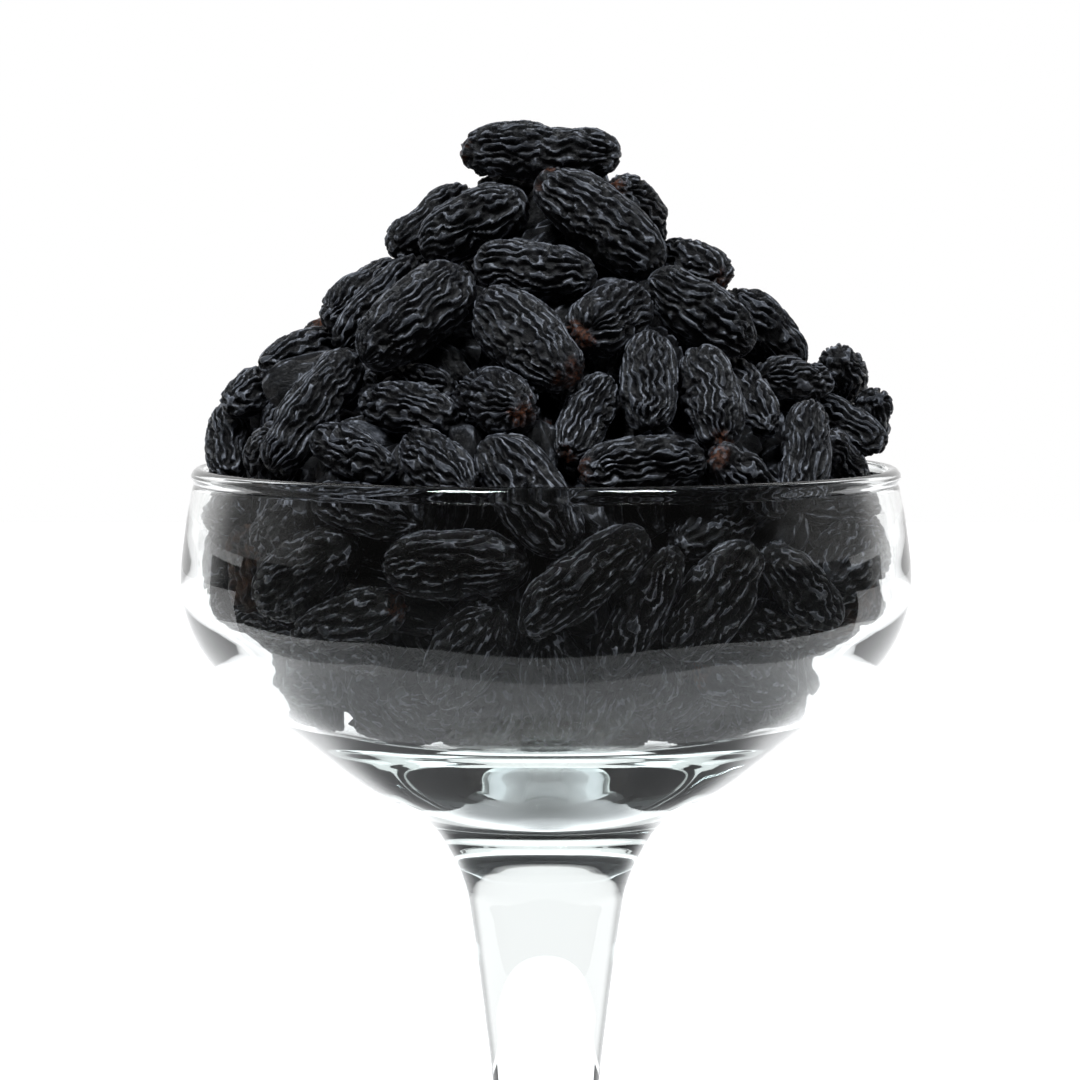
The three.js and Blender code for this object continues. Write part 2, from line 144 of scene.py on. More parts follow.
def turned_faces(rings: int, sides: int) -> tuple[np.ndarray, np.ndarray]:
    """Numbers the faces of a surface made of rings of vertices and of a tip at each end.

    Args:
        rings: How many rings there are.
        sides: Vertices in each ring.

    Returns:
        Its quads, and its triangles at the two tips, whose numbers follow those of the rings.
    """
    ring, side = np.meshgrid(np.arange(rings - 1), np.arange(sides), indexing="ij")
    here, there = ring * sides, (ring + 1) * sides
    beyond = (side + 1) % sides
    quads = np.stack([here + side, here + beyond, there + beyond, there + side], -1).reshape(-1, 4)
    first = np.arange(sides)
    after = (first + 1) % sides
    last = (rings - 1) * sides
    head = np.stack([after, first, np.full(sides, rings * sides)], 1)
    tail = np.stack([last + first, last + after, np.full(sides, rings * sides + 1)], 1)
    return quads, np.vstack([head, tail])


class Layer(Enum):
    """Where in the pile a raisin lies."""

    SEEN = "seen"
    OUTER = "outer"
    UNDER = "under"
    INNER = "inner"


@dataclass
class Raisin:
    """One raisin: where it lies and its size."""

    centre: np.ndarray
    axis: np.ndarray
    length: float
    width: float
    layer: Layer
    index: int = 0

    def balls(self) -> tuple[np.ndarray, np.ndarray]:
        """Finds the balls that stand for the raisin while the pile settles.

        Returns:
            Their places along its axis, and their radii.
        """
        places, shares = np.array([-1, -0.52, 0, 0.52, 1]), np.array([0.385, 0.475, 0.5, 0.475, 0.385])
        return (self.length / 2 - shares[0] * self.width) * places, shares * self.width


class Draws:
    """Random numbers in a fixed order."""

    def __init__(self, seed: int) -> None:
        """Starts the order at a seed."""
        self.state = seed

    def between(self, low: float = 0.0, high: float = 1.0) -> float:
        """Draws the next number between two limits."""
        self.state = (self.state * 1664525 + 1013904223) % 4294967296
        return low + (high - low) * self.state / 4294967296


# The raisins that the photograph shows, read off in its pixels and degrees:
# across, down, apparent length, width, lean, millimetres set in, millimetres set back.
# The last four lines follow the lower edge of the dark mass, where single raisins are hard to tell apart.
SEEN = [
    (540, 154, 160, 64, -2, 0, 0), (597, 225, 152, 72, -38, 0, 0), (472, 222, 118, 66, 27, 0, 0),
    (436, 222, 104, 56, 36, 3, 4.5), (637, 210, 84, 52, -52, 2, 1), (693, 263, 78, 52, -22, 1, 3),
    (532, 272, 124, 60, -8, 0, 0), (366, 296, 98, 58, 32, 1, 7), (379, 300, 126, 46, 46, 1, -1),
    (418, 322, 140, 74, 42, 0, 0), (527, 345, 130, 76, -42, 0, 0), (702, 312, 124, 66, -34, 0, 0),
    (608, 318, 90, 68, 28, 1.5, 0), (762, 332, 108, 64, -48, 1, 5), (304, 353, 84, 44, 20, 1, 3),
    (298, 390, 118, 44, 40, 3, 0), (316, 408, 144, 60, 53, 0, 0), (258, 399, 74, 44, 32, 1, 3),
    (408, 377, 92, 42, -4, 7, 0), (410, 415, 96, 54, -15, 4, 0), (496, 402, 84, 66, -22, 1, 0),
    (583, 412, 92, 50, 64, 3, 0), (649, 380, 98, 58, 88, 1, 0), (710, 397, 102, 60, -78, 0, 0),
    (757, 396, 78, 42, -64, 4, 0), (798, 385, 82, 48, -14, 1, -3), (833, 384, 58, 50, -60, 1, 6),
    (838, 425, 100, 46, -40, 1, 1), (862, 438, 66, 44, -80, 0, 7), (801, 452, 106, 52, 82, 0, 0),
    (850, 458, 78, 50, -50, 1, -4), (223, 440, 78, 45, 82, 0, 0), (260, 452, 70, 50, 50, 2, -5),
    (352, 457, 92, 48, -22, 1, 0), (447, 460, 86, 58, -48, 1, 0), (530, 495, 138, 70, -56, 0, 0),
    (643, 464, 128, 62, 5, 0, 0), (742, 487, 92, 50, -46, 1, 0), (372, 514, 112, 50, -15, 1, 0),
    (292, 522, 80, 46, 50, 2, 0), (230, 514, 64, 48, 10, 0, 0), (212, 566, 66, 40, 88, 0, 0),
    (244, 562, 80, 42, -74, 1, 0), (315, 580, 116, 72, 40, 0, 0), (457, 568, 140, 68, -2, 0, 0),
    (352, 620, 112, 50, 20, 1, 0), (233, 613, 70, 50, -50, 0, 0), (270, 636, 70, 36, -8, 1, 0),
    (468, 649, 116, 72, 60, 0, 0), (577, 577, 154, 58, 40, 0, 0), (640, 612, 144, 46, 62, 0, 0),
    (708, 602, 132, 66, 55, 0, 0), (552, 682, 108, 60, -62, 0, 0), (788, 594, 104, 50, -50, 0, 0),
    (775, 626, 76, 48, -30, 2, 0), (842, 546, 84, 66, 60, 0, 0), (879, 548, 68, 38, -75, 0, 0),
    (840, 604, 76, 48, 50, 1, 0), (876, 610, 64, 38, 80, 0, 0), (835, 502, 84, 44, 10, 2, 0),
    (715, 528, 90, 50, 20, 4, 0), (346, 656, 80, 40, -8, 0, 0), (398, 697, 98, 44, -45, 0, 0),
    (306, 658, 76, 42, -20, 0, 0), (505, 702, 90, 50, 20, 0, 0), (590, 700, 76, 46, 60, 0, 0),
    (640, 696, 76, 50, 40, 0, 0), (735, 681, 100, 46, -5, 0, 0), (822, 652, 76, 42, 22, 0, 0),
    (688, 703, 84, 42, 10, 0, 0), (440, 704, 80, 44, -20, 0, 0),
    (264, 656, 72, 38, -30, 0, 0), (288, 674, 70, 38, -28, 0, 0), (318, 690, 76, 40, -22, 0, 0),
    (352, 704, 78, 40, -20, 0, 0), (392, 715, 74, 38, -12, 0, 0), (432, 720, 76, 40, -10, 0, 0),
    (487, 724, 84, 46, 15, 0, 0), (548, 724, 80, 42, -8, 0, 0), (600, 722, 80, 44, 8, 0, 0),
    (655, 718, 80, 42, 12, 0, 0), (708, 708, 76, 40, 16, 0, 0), (758, 692, 76, 40, 24, 0, 0),
    (796, 674, 72, 40, 30, 0, 0), (824, 656, 66, 38, 42, 0, 0),
]
# Raisins of that list with a rust-brown stem end: their row, and -1 for the left end or 1 for the right one
RUSTY = {0: -1, 4: -1, 5: 1, 12: -1, 20: 1, 21: -1, 37: -1}
# Rows of the raisins that are brown all over
BROWN = (42, 57)


@dataclass(frozen=True)
class Fill:
    """One round of dropping raisins into the room that is left."""

    layer: Layer
    tries: int
    depth: float
    far_gap: float
    near_gap: float
    lowest: float


@dataclass
class Eye:
    """The eye that the photograph was taken from."""

    place: tuple[float, float, float] = (-0.8, -560.0, RIM_HEIGHT + 31.7)
    pitch: float = math.radians(4.25)
    focal: float = 4200.0
    middle: float = 540.0

    def ray(self, across: float, down: float) -> tuple[np.ndarray, np.ndarray]:
        """Finds the line of sight through a pixel.

        Args:
            across: Pixels from the photograph's left edge.
            down: Pixels from its upper edge.

        Returns:
            The line's direction, and the direction in which the eye looks.
        """
        ahead = np.array([0.0, math.cos(self.pitch), -math.sin(self.pitch)])
        up = np.array([0.0, math.sin(self.pitch), math.cos(self.pitch)])
        right = np.array([1.0, 0.0, 0.0])
        sight = ahead + up * (self.middle - down) / self.focal + right * (across - self.middle) / self.focal
        return sight, ahead


@dataclass
class Pile:
    """How the raisins lie: those that the photograph shows, the others that fill the pile, all settled."""

    shell: Line = field(default_factory=lambda: [
        (0, -35.8), (10.6, -34.4), (20.3, -32.4), (27.8, -30.6), (31.2, -29), (34.9, -26.3), (39.3, -21.8),
        (41.5, -17.8), (42, -13.5), (41.7, -8), (41, -3), (40.2, 1.5), (37.6, 7), (32.6, 13),
        (26.2, 19), (18.8, 25.6), (11.8, 31.2), (5.5, 37), (0, 42.6),
    ])
    wall: Line = field(default_factory=lambda: list(INSIDE))
    fills: tuple[Fill, ...] = (
        Fill(Layer.OUTER, 7000, 0.0, -3.2, -0.4, -40.0),
        Fill(Layer.UNDER, 6000, 5.6, -3.1, -3.1, -12.0),
    )
    core_fills: tuple[Fill, ...] = (
        Fill(Layer.INNER, 2500, 7.0, -3.4, -3.4, -40.0),
        Fill(Layer.INNER, 2500, 13.0, -3.4, -3.4, -40.0),
    )
    core_seed: int = 11
    shortest: float = 15.2
    longest: float = 21.6
    fill_length: tuple[float, float] = (15.5, 21.0)
    fill_width: tuple[float, float] = (6.8, 9.2)
    fill_seed: int = 7
    fill_in_front_below: float = -27.0
    far_side: float = 3.0
    cup_reach: float = 25.0
    crown: float = 5.0
    rounds: int = 140
    between: float = 0.35
    to_glass: float = 0.5
    inward_pull: float = 0.04
    loose_above: float = 5.2

    def shell_at(self, height: float) -> tuple[float, np.ndarray]:
        """Finds the shell line at a height.

        Args:
            height: Height above the rim.

        Returns:
            The line's radius there, and its outward normal as radius and height.
        """
        z = min(max(height, self.shell[0][1]), self.shell[-1][1])
        upper = max(next(i for i, (_, top) in enumerate(self.shell) if z <= top), 1)
        (r0, z0), (r1, z1) = self.shell[upper - 1], self.shell[upper]
        normal = np.array([z1 - z0, r0 - r1])
        return r0 + (z - z0) / (z1 - z0) * (r1 - r0), normal / np.linalg.norm(normal)

    def seen(self, row: tuple[float, ...], eye: Eye) -> Raisin:
        """Lays a raisin of the photograph on the shell where its pixel falls.

        Args:
            row: One row of the table of seen raisins.
            eye: The eye that the photograph was taken from.

        Returns:
            The raisin, before the pile settles.
        """
        across, down, apparent, thick, lean, deep, back = row
        sight, ahead = eye.ray(across, down)
        start = np.array(eye.place)
        y = 0.0 if back > 0 else -self.cup_reach
        for _ in range(12):
            point = start + sight * (y - start[1]) / sight[1]
            radius = max(self.shell_at(point[2] - RIM_HEIGHT)[0] - deep, 1.0)
            depth = math.sqrt(max(radius * radius - point[0] ** 2, 0.0))
            y = 0.6 * y + 0.4 * (back - depth)
        centre = start + sight * (y - start[1]) / sight[1]
        profile = self.shell_at(centre[2] - RIM_HEIGHT)[1]
        level = max(math.hypot(centre[0], centre[1]), self.crown)
        normal = np.array([centre[0] / level * profile[0], centre[1] / level * profile[0], profile[1]])
        scale = eye.focal / float((centre - start) @ ahead)
        angle = math.radians(lean)
        flat = np.array([math.cos(angle), 0.0, math.sin(angle)])
        away = min(max(-(flat @ normal) * normal[1] / (normal[1] ** 2 + 0.15), -0.8), 0.8)
        half, thin = apparent / scale / 2, thick / scale / 2
        full = min(max(half * math.sqrt(1 + away * away), 1.75 * thin, self.shortest / 2), self.longest / 2)
        shown = max(half * half - thin * thin, 0.02) / max(full * full - thin * thin, 0.03)
        steep = math.sqrt(max(1 / min(max(shown, 0.12), 1.0) - 1, 0.0))
        if steep > abs(away):
            away = math.copysign(steep, away if abs(away) > 0.02 else math.sin(angle) + 1e-9)
        axis = np.array([flat[0], away, flat[2]])
        return Raisin(centre, axis / np.linalg.norm(axis), 2 * full, 2 * thin, Layer.SEEN)

    def shell_frame(self, along: float, turn: float) -> tuple[np.ndarray, np.ndarray, np.ndarray]:
        """Finds a spot on the shell.

        Args:
            along: Length along its line, from the lowest point.
            turn: Angle round the axis.

        Returns:
            The place, the outward normal and the level tangent.
        """
        line = np.array(self.shell)
        steps = np.linalg.norm(np.diff(line, axis=0), axis=1)
        i = 0
        while along > steps[i] and i < len(steps) - 1:
            along -= steps[i]
            i += 1
        (r0, z0), (r1, z1) = line[i], line[i + 1]
        share = along / steps[i]
        radius = r0 + share * (r1 - r0)
        out, up = (z1 - z0) / steps[i], (r0 - r1) / steps[i]
        c, s = math.cos(turn), math.sin(turn)
        place = np.array([radius * c, radius * s, RIM_HEIGHT + z0 + share * (z1 - z0)])
        return place, np.array([out * c, out * s, up]), np.array([-s, c, 0.0])

    def fill(self, raisins: list[Raisin], fills: tuple[Fill, ...], seed: int) -> None:
        """Drops raisins at random where there is room, for what the photograph doesn't show.

        Args:
            raisins: Those already laid, to which the new ones are added.
            fills: The rounds of dropping.
            seed: Where the random numbers start.
        """
        draws = Draws(seed)
        length_of_shell = float(np.linalg.norm(np.diff(np.array(self.shell), axis=0), axis=1).sum())
        balls = [r.centre + np.outer(r.balls()[0], r.axis) for r in raisins]
        radii = [r.balls()[1] for r in raisins]
        for rule in fills:
            for _ in range(rule.tries):
                along, pick = draws.between(0, length_of_shell), draws.between()
                turn, roll = draws.between(0, 2 * math.pi), draws.between(0, math.pi)
                length, width = draws.between(*self.fill_length), draws.between(*self.fill_width)
                dip = draws.between(-0.25, 0.25)
                place, normal, level = self.shell_frame(along, turn)
                if pick * 42 > math.hypot(place[0], place[1]) or place[2] < RIM_HEIGHT + rule.lowest:
                    continue
                near = place[1] < self.far_side
                if rule.layer is Layer.OUTER and near and place[2] > RIM_HEIGHT + self.fill_in_front_below:
                    continue
                axis = level * math.cos(roll) + np.cross(normal, level) * math.sin(roll) + normal * dip
                axis /= np.linalg.norm(axis)
                raisin = Raisin(place - normal * rule.depth, axis, length, width, rule.layer)
                offsets, own = raisin.balls()
                own_balls = raisin.centre + np.outer(offsets, axis)
                apart = np.linalg.norm(own_balls[None, :, None] - np.array(balls)[:, None], axis=-1)
                gap = (apart - own[None, :, None] - np.array(radii)[:, None]).min()
                if gap >= (rule.near_gap if near else rule.far_gap):
                    raisins.append(raisin)
                    balls.append(own_balls)
                    radii.append(own)

    def off_glass(
        self, radius: np.ndarray, height: np.ndarray, needed: np.ndarray
    ) -> tuple[np.ndarray, np.ndarray]:
        """How far balls have to move off the inside of the bowl or its rim.

        Args:
            radius: Their distances from the axis.
            height: Their heights.
            needed: How far from the glass their centres have to be.

        Returns:
            The moves in radius and in height.
        """
        ring_radius, ring_height, ring_thick = 46.3, 118.9, 1.2
        gr, gz = radius - ring_radius, height - ring_height
        far = np.hypot(gr, gz)
        over_rim = np.maximum(needed + ring_thick - far, 0) / far
        best = np.full(radius.shape, np.inf)
        moves = np.zeros(radius.shape + (2,))
        for (br, bz), (ar, az) in zip(self.wall, self.wall[1:]):
            dr, dz = br - ar, bz - az
            step = math.hypot(dr, dz)
            inward = np.array([-dz / step, dr / step])
            share = np.clip(((radius - ar) * dr + (height - az) * dz) / step**2, 0, 1)
            wr, wz = radius - ar - share * dr, height - az - share * dz
            distance = np.hypot(wr, wz)
            signed = np.where(wr * inward[0] + wz * inward[1] < 0, -distance, distance)
            closer = distance < best
            best = np.where(closer, distance, best)
            moves[closer] = (np.maximum(needed - signed, 0)[..., None] * inward)[closer]
        above = height > RIM_HEIGHT
        return np.where(above, gr * over_rim, moves[..., 0]), np.where(above, gz * over_rim, moves[..., 1])

    def settle(self, raisins: list[Raisin], still: int = 0) -> None:
        """Pushes raisins apart and off the glass, while they keep near their places and the heap sinks in.

        Args:
            raisins: The raisins.
            still: How many of the first ones stay where they are.
        """
        centres = np.array([r.centre for r in raisins])
        axes = np.array([r.axis for r in raisins])
        offsets = np.array([r.balls()[0] for r in raisins])
        radii = np.array([r.balls()[1] for r in raisins])
        give_of = {Layer.SEEN: 0.08, Layer.OUTER: 0.6, Layer.UNDER: 1.0, Layer.INNER: 1.0}
        hold_of = {Layer.SEEN: 0.07, Layer.OUTER: 0.01}
        gives = np.array([give_of[r.layer] for r in raisins])
        hold = np.array([hold_of.get(r.layer, 0.0) for r in raisins])
        hold_lean = np.array([0.12 if r.layer is Layer.SEEN else 0.0 for r in raisins])
        home, lean = centres.copy(), axes.copy()
        for turn_of in range(self.rounds):
            ease = max(0.0, 1 - turn_of / (0.7 * self.rounds))
            balls = centres[:, None] + axes[:, None] * offsets[..., None]
            moves = np.zeros_like(balls)
            between = np.linalg.norm(centres[:, None] - centres[None], axis=-1)
            i, j = np.nonzero(np.triu(between <= self.longest + 2, 1))
            apart = balls[i][:, :, None] - balls[j][:, None]
            distance = np.linalg.norm(apart, axis=-1) + 1e-9
            over = np.maximum(radii[i][:, :, None] + radii[j][:, None] + self.between - distance, 0)
            push = apart * (over / distance)[..., None]
            share = (gives[i] / (gives[i] + gives[j]))[:, None, None]
            np.add.at(moves, i, share * push.sum(2))
            np.add.at(moves, j, (share - 1) * push.sum(1))
            hits = (over > 0).sum((1, 2))
            touches = np.bincount(i, hits, len(raisins)) + np.bincount(j, hits, len(raisins))
            radius = np.hypot(balls[..., 0], balls[..., 1]) + 1e-9
            out, up = self.off_glass(radius, balls[..., 2], radii + self.to_glass)
            touches += ((out != 0) | (up != 0)).sum(1)
            moves += np.stack([out * balls[..., 0] / radius, out * balls[..., 1] / radius, up], -1)
            turn = (moves * offsets[..., None]).sum(1) * (0.5 / (offsets**2).sum(1))[:, None]
            turn += (lean - axes) * (hold_lean * ease)[:, None]
            turn -= axes * (turn * axes).sum(1)[:, None]
            turn[:still] = 0
            axes = axes + turn
            axes /= np.linalg.norm(axes, axis=1)[:, None]
            level = np.maximum(np.hypot(centres[:, 0], centres[:, 1]), 1e-6)
            inward = np.stack([
                -0.6 * centres[:, 0] / level, -0.6 * centres[:, 1] / level, np.full(len(level), -0.8)
            ], 1)
            pull = np.where(centres[:, 2] > RIM_HEIGHT + 2, self.inward_pull * ease, 0.0)
            shift = moves.sum(1) * (1.3 / np.maximum(touches, 1))[:, None]
            shift += (home - centres) * (hold * ease)[:, None] + inward * pull[:, None]
            shift[:still] = 0
            centres = centres + shift
        for raisin, centre, axis in zip(raisins, centres, axes):
            raisin.centre, raisin.axis = centre, axis

    def lay(self, eye: Eye) -> list[Raisin]:
        """Lays out the whole pile.

        Args:
            eye: The eye that the photograph was taken from.

        Returns:
            The raisins, in the order in which they are numbered.
        """
        raisins = [self.seen(row, eye) for row in SEEN]
        self.fill(raisins, self.fills, self.fill_seed)
        self.settle(raisins)
        outside_count = len(raisins)
        self.fill(raisins, self.core_fills, self.core_seed)
        self.settle(raisins, outside_count)
        for index, raisin in enumerate(raisins):
            raisin.index = index
        return raisins

    def is_loose(self, raisin: Raisin) -> bool:
        """Tells whether a raisin of the heap is a node of its own."""
        on_top = raisin.layer in (Layer.SEEN, Layer.OUTER)
        return on_top and raisin.centre[2] > RIM_HEIGHT + self.loose_above


class Wire:
    """A node's output that takes part in arithmetic on numbers."""

    def __init__(self, graph: Graph, socket: bpy.types.NodeSocket) -> None:
        """Keeps the output and the graph that it is in."""
        self.graph = graph
        self.socket = socket

    def _math(self, operation: str, first: Wire | float, second: Wire | float) -> Wire:
        """Adds a Math node on two numbers."""
        return self.graph.node("ShaderNodeMath", {"operation": operation}, {0: first, 1: second})

    def __add__(self, other: Wire | float) -> Wire:
        """Adds."""
        return self._math("ADD", self, other)

    __radd__ = __add__

    def __mul__(self, other: Wire | float) -> Wire:
        """Multiplies."""
        return self._math("MULTIPLY", self, other)

    __rmul__ = __mul__

    def __sub__(self, other: Wire | float) -> Wire:
        """Subtracts a number from this one."""
        return self._math("SUBTRACT", self, other)

    def __rsub__(self, other: Wire | float) -> Wire:
        """Subtracts this number from another."""
        return self._math("SUBTRACT", other, self)


class Graph:
    """The nodes of a material or of the world."""

    def __init__(self, owner: bpy.types.Material | bpy.types.World) -> None:
        """Empties the owner's nodes.

        Args:
            owner: The material or world.
        """
        owner.use_nodes = True
        self.tree = owner.node_tree
        self.tree.nodes.clear()

    def node(
        self, kind: str, settings: dict[str, object], sockets: dict[object, object], out: str | int = 0
    ) -> Wire:
        """Adds a node.

        Args:
            kind: The node's type.
            settings: Its properties.
            sockets: Values or wires for its inputs, by name, identifier or number.
            out: Name or number of the output that is wanted.

        Returns:
            That output.
        """
        made = self.tree.nodes.new(kind)
        for key, value in settings.items():
            setattr(made, key, value)
        for key, value in sockets.items():
            entry = self._find(made.inputs, key)
            if isinstance(value, Wire):
                self.tree.links.new(value.socket, entry)
            else:
                entry.default_value = value
        return Wire(self, self._find(made.outputs, out)) if made.outputs else None

    @staticmethod
    def _find(sockets: bpy.types.bpy_prop_collection, key: str | int) -> bpy.types.NodeSocket:
        """Finds a socket.

        Args:
            sockets: A node's inputs or outputs.
            key: Its number, identifier or name.

        Returns:
            The socket.
        """
        if isinstance(key, int):
            return sockets[key]
        exact = [s for s in sockets if s.identifier == key]
        return (exact or [s for s in sockets if s.name == key and s.enabled])[0]

    def mix(self, share: Wire | float, first: Wire | Colour, second: Wire | Colour) -> Wire:
        """Mixes two colours."""
        sockets = {"Factor_Float": share, "A_Color": first, "B_Color": second}
        return self.node("ShaderNodeMix", {"data_type": "RGBA"}, sockets, "Result_Color")

    def step(self, value: Wire, low: float, high: float) -> Wire:
        """Eases a number from 0 at one limit to 1 at the other."""
        sockets = {"Value": value, "From Min": low, "From Max": high}
        return self.node("ShaderNodeMapRange", {"interpolation_type": "SMOOTHSTEP"}, sockets)

    def line(self, value: Wire, width: float) -> Wire:
        """Draws a line where a number passes through zero.

        Args:
            value: The number.
            width: How far from zero the line fades out.

        Returns:
            1 on the line, 0 off it.
        """
        away = self.node("ShaderNodeMath", {"operation": "ABSOLUTE"}, {0: value})
        sockets = {"Value": away, "From Min": width, "From Max": 0.0}
        return self.node("ShaderNodeMapRange", {"interpolation_type": "SMOOTHERSTEP"}, sockets)

    def vertex(self, name: str, out: str = "Fac") -> Wire:
        """Reads a value that is kept on the mesh's vertices."""
        return self.node("ShaderNodeAttribute", {"attribute_name": name}, {}, out)


@dataclass(frozen=True)
class RaisinSkin:
    """Finish of a raisin: near-black skin, rust-brown at its ends; grooves darkened as painted shade, fold
    tops grey-blue with a waxy coat and painted sheen, and crest lines a painted highlight.
    """

    # Groove colour: painted shade, near black where the folds shadow each other.
    painted_groove_shade: Colour = (0.0020, 0.0020, 0.0026, 1.0)
    flat: Colour = (0.0095, 0.0104, 0.0130, 1.0)
    # Fold tops: the skin's waxy grey-blue coat, made lighter to also stand in as painted sheen.
    bloom_and_sheen: Colour = (0.064, 0.071, 0.086, 1.0)
    # Crest line colour: painted highlight.
    crest: Colour = (0.34, 0.36, 0.41, 1.0)
    rust: Colour = (0.095, 0.030, 0.012, 1.0)
    brown: Colour = (0.045, 0.020, 0.009, 1.0)
    roughness: float = 0.36
    specular: float = 0.38
    edge_height: float = 0.86
    edge_width: float = 0.11
    blotch_scale: float = 0.45
    wrinkle_scale: float = 2.6
    wrinkle_stretch: float = 0.45
    wrinkle_depth: float = 0.00035

    def build(self) -> bpy.types.Material:
        """Builds the material.

        Returns:
            The material.
        """
        material = bpy.data.materials.new("raisin_skin")
        g = Graph(material)
        local = g.vertex("local", "Vector")
        stretch = {0: local, 1: (self.wrinkle_stretch, 1.0, 1.0)}
        drawn_out = g.node("ShaderNodeVectorMath", {"operation": "MULTIPLY"}, stretch, "Vector")
        patches = {"Vector": local, "Scale": self.blotch_scale, "Detail": 2.0}
        blotch = g.node("ShaderNodeTexNoise", {}, patches)
        tiny = {"Vector": drawn_out, "Scale": self.wrinkle_scale, "Detail": 4.0, "Roughness": 0.6}
        fine = g.node("ShaderNodeTexNoise", {}, tiny)
        fold = g.vertex("fold")
        edge = g.line(fold - self.edge_height, self.edge_width)
        # Patches where the painted crest highlight shows, so that it breaks up.
        highlight_patches = g.step(blotch * 0.5 + fine * 0.5, 0.40, 0.60)
        # Patches where the waxy coat and its painted sheen show.
        waxy_sheen_patches = g.step(blotch * 0.6 + fine * 0.4, 0.38, 0.62)
        crease = g.line(fine - 0.5, 0.035)
        # Painted shade: the skin darkens from the flats down into the grooves.
        colour = g.mix(g.step(fold, 0.30, 0.85), self.painted_groove_shade, self.flat)
        # Waxy grey-blue coat and painted sheen on the fold tops, in patches.
        colour = g.mix(g.step(fold, 0.70, 1.0) * waxy_sheen_patches, colour, self.bloom_and_sheen)
        # Painted highlight along each fold's crest line.
        colour = g.mix(edge * highlight_patches * 0.7, colour, self.crest)
        colour = g.mix(g.vertex("brown") * g.step(blotch, 0.35, 0.6), colour, self.brown)
        colour = g.mix(g.vertex("scar") * g.step(fine, 0.40, 0.56), colour, self.rust)
        wrinkles = {"Strength": 1.0, "Distance": self.wrinkle_depth, "Height": fine - crease * 0.30}
        bump = g.node("ShaderNodeBump", {}, wrinkles)
        skin = g.node("ShaderNodeBsdfPrincipled", {}, {
            "Base Color": colour,
            "Roughness": self.roughness + blotch * 0.15 - edge * 0.10,
            "Normal": bump,
            "IOR": 1.46,
            "Specular IOR Level": self.specular,
        })
        g.node("ShaderNodeOutputMaterial", {}, {"Surface": skin})
        return material


@dataclass(frozen=True)
class ClearGlass:
    """Finish of the glass: clear and smooth, grey-green where light goes far through it."""

    tint: Colour = (0.99, 0.995, 0.993, 1.0)
    ior: float = 1.5
    depth_tint: Colour = (0.2, 0.86, 0.80, 1.0)
    depth_density: float = 2.5

    def build(self) -> bpy.types.Material:
        """Builds the material.

        Returns:
            The material.
        """
        material = bpy.data.materials.new("clear_glass")
        g = Graph(material)
        glass = g.node("ShaderNodeBsdfPrincipled", {}, {
            "Base Color": self.tint, "Roughness": 0.0, "IOR": self.ior, "Transmission Weight": 1.0,
        })
        within = g.node("ShaderNodeVolumeAbsorption", {}, {
            "Color": self.depth_tint, "Density": self.depth_density,
        })
        g.node("ShaderNodeOutputMaterial", {}, {"Surface": glass, "Volume": within})
        return material


@dataclass
class Coupe:
    """The glass: bowl, solid base, stem and foot in one turned piece."""

    underside: Line = field(default_factory=lambda: [(0, 1.8), (12, 1.45), (20, 0.7), (24, 0)])
    foot_edge: Line = field(default_factory=lambda: [
        (33, 0), (33.9, 0.35), (34.2, 1.1), (33.9, 1.9), (33.2, 2.3),
    ])
    outside: Line = field(default_factory=lambda: [
        (33.2, 2.3), (24, 3.3), (14.5, 6), (9.2, 11), (7.1, 20), (6.9, 30), (7.29, 37.7), (8.16, 45.2),
        (8.83, 50.6), (9.56, 56.1), (10.25, 60.74), (10.6, 62.8), (11.28, 64.9), (11.8, 66.2), (12.3, 67.2),
        (13.19, 68.82), (14.59, 71), (16.1, 72.58), (19.1, 74.37), (24.48, 77.5), (33.6, 84.7),
        (41.1, 90.1), (46.4, 96.4), (48.7, 103.5), (48.2, 111), (47.1, 117.2),
    ])
    bead: Line = field(default_factory=lambda: [
        (46.9, 117.9), (47.25, 118.9), (46.8, 119.75), (46.2, 120), (45.6, 119.75),
    ])
    inside: Line = field(default_factory=lambda: list(INSIDE))
    sides: int = 200

    def profile(self) -> np.ndarray:
        """Draws the outline that is turned.

        Returns:
            Its points, from the middle of the underside to the middle of the bowl's floor.
        """
        upper = self.outside + self.bead + self.inside
        parts = [smooth_line(self.underside, 5), smooth_line(self.foot_edge, 3), smooth_line(upper, 5)[1:]]
        line = np.vstack(parts)
        line[[0, -1], 0] = 0
        return line

    def build(self, finish: bpy.types.Material) -> bpy.types.Object:
        """Turns the glass and dresses it.

        Args:
            finish: Its material.

        Returns:
            The glass.
        """
        line = self.profile()
        turn = np.arange(self.sides) * 2 * math.pi / self.sides
        body = line[1:-1]
        points = np.stack([
            body[:, :1] * np.cos(turn), body[:, :1] * np.sin(turn), np.repeat(body[:, 1:], self.sides, 1)
        ], -1).reshape(-1, 3)
        tips = np.array([[0, 0, line[0, 1]], [0, 0, line[-1, 1]]])
        piece = mesh_piece("coupe", np.vstack([points, tips]), *turned_faces(len(body), self.sides), {})
        piece.data.materials.append(finish)
        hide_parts("glass_coupe")
        return piece


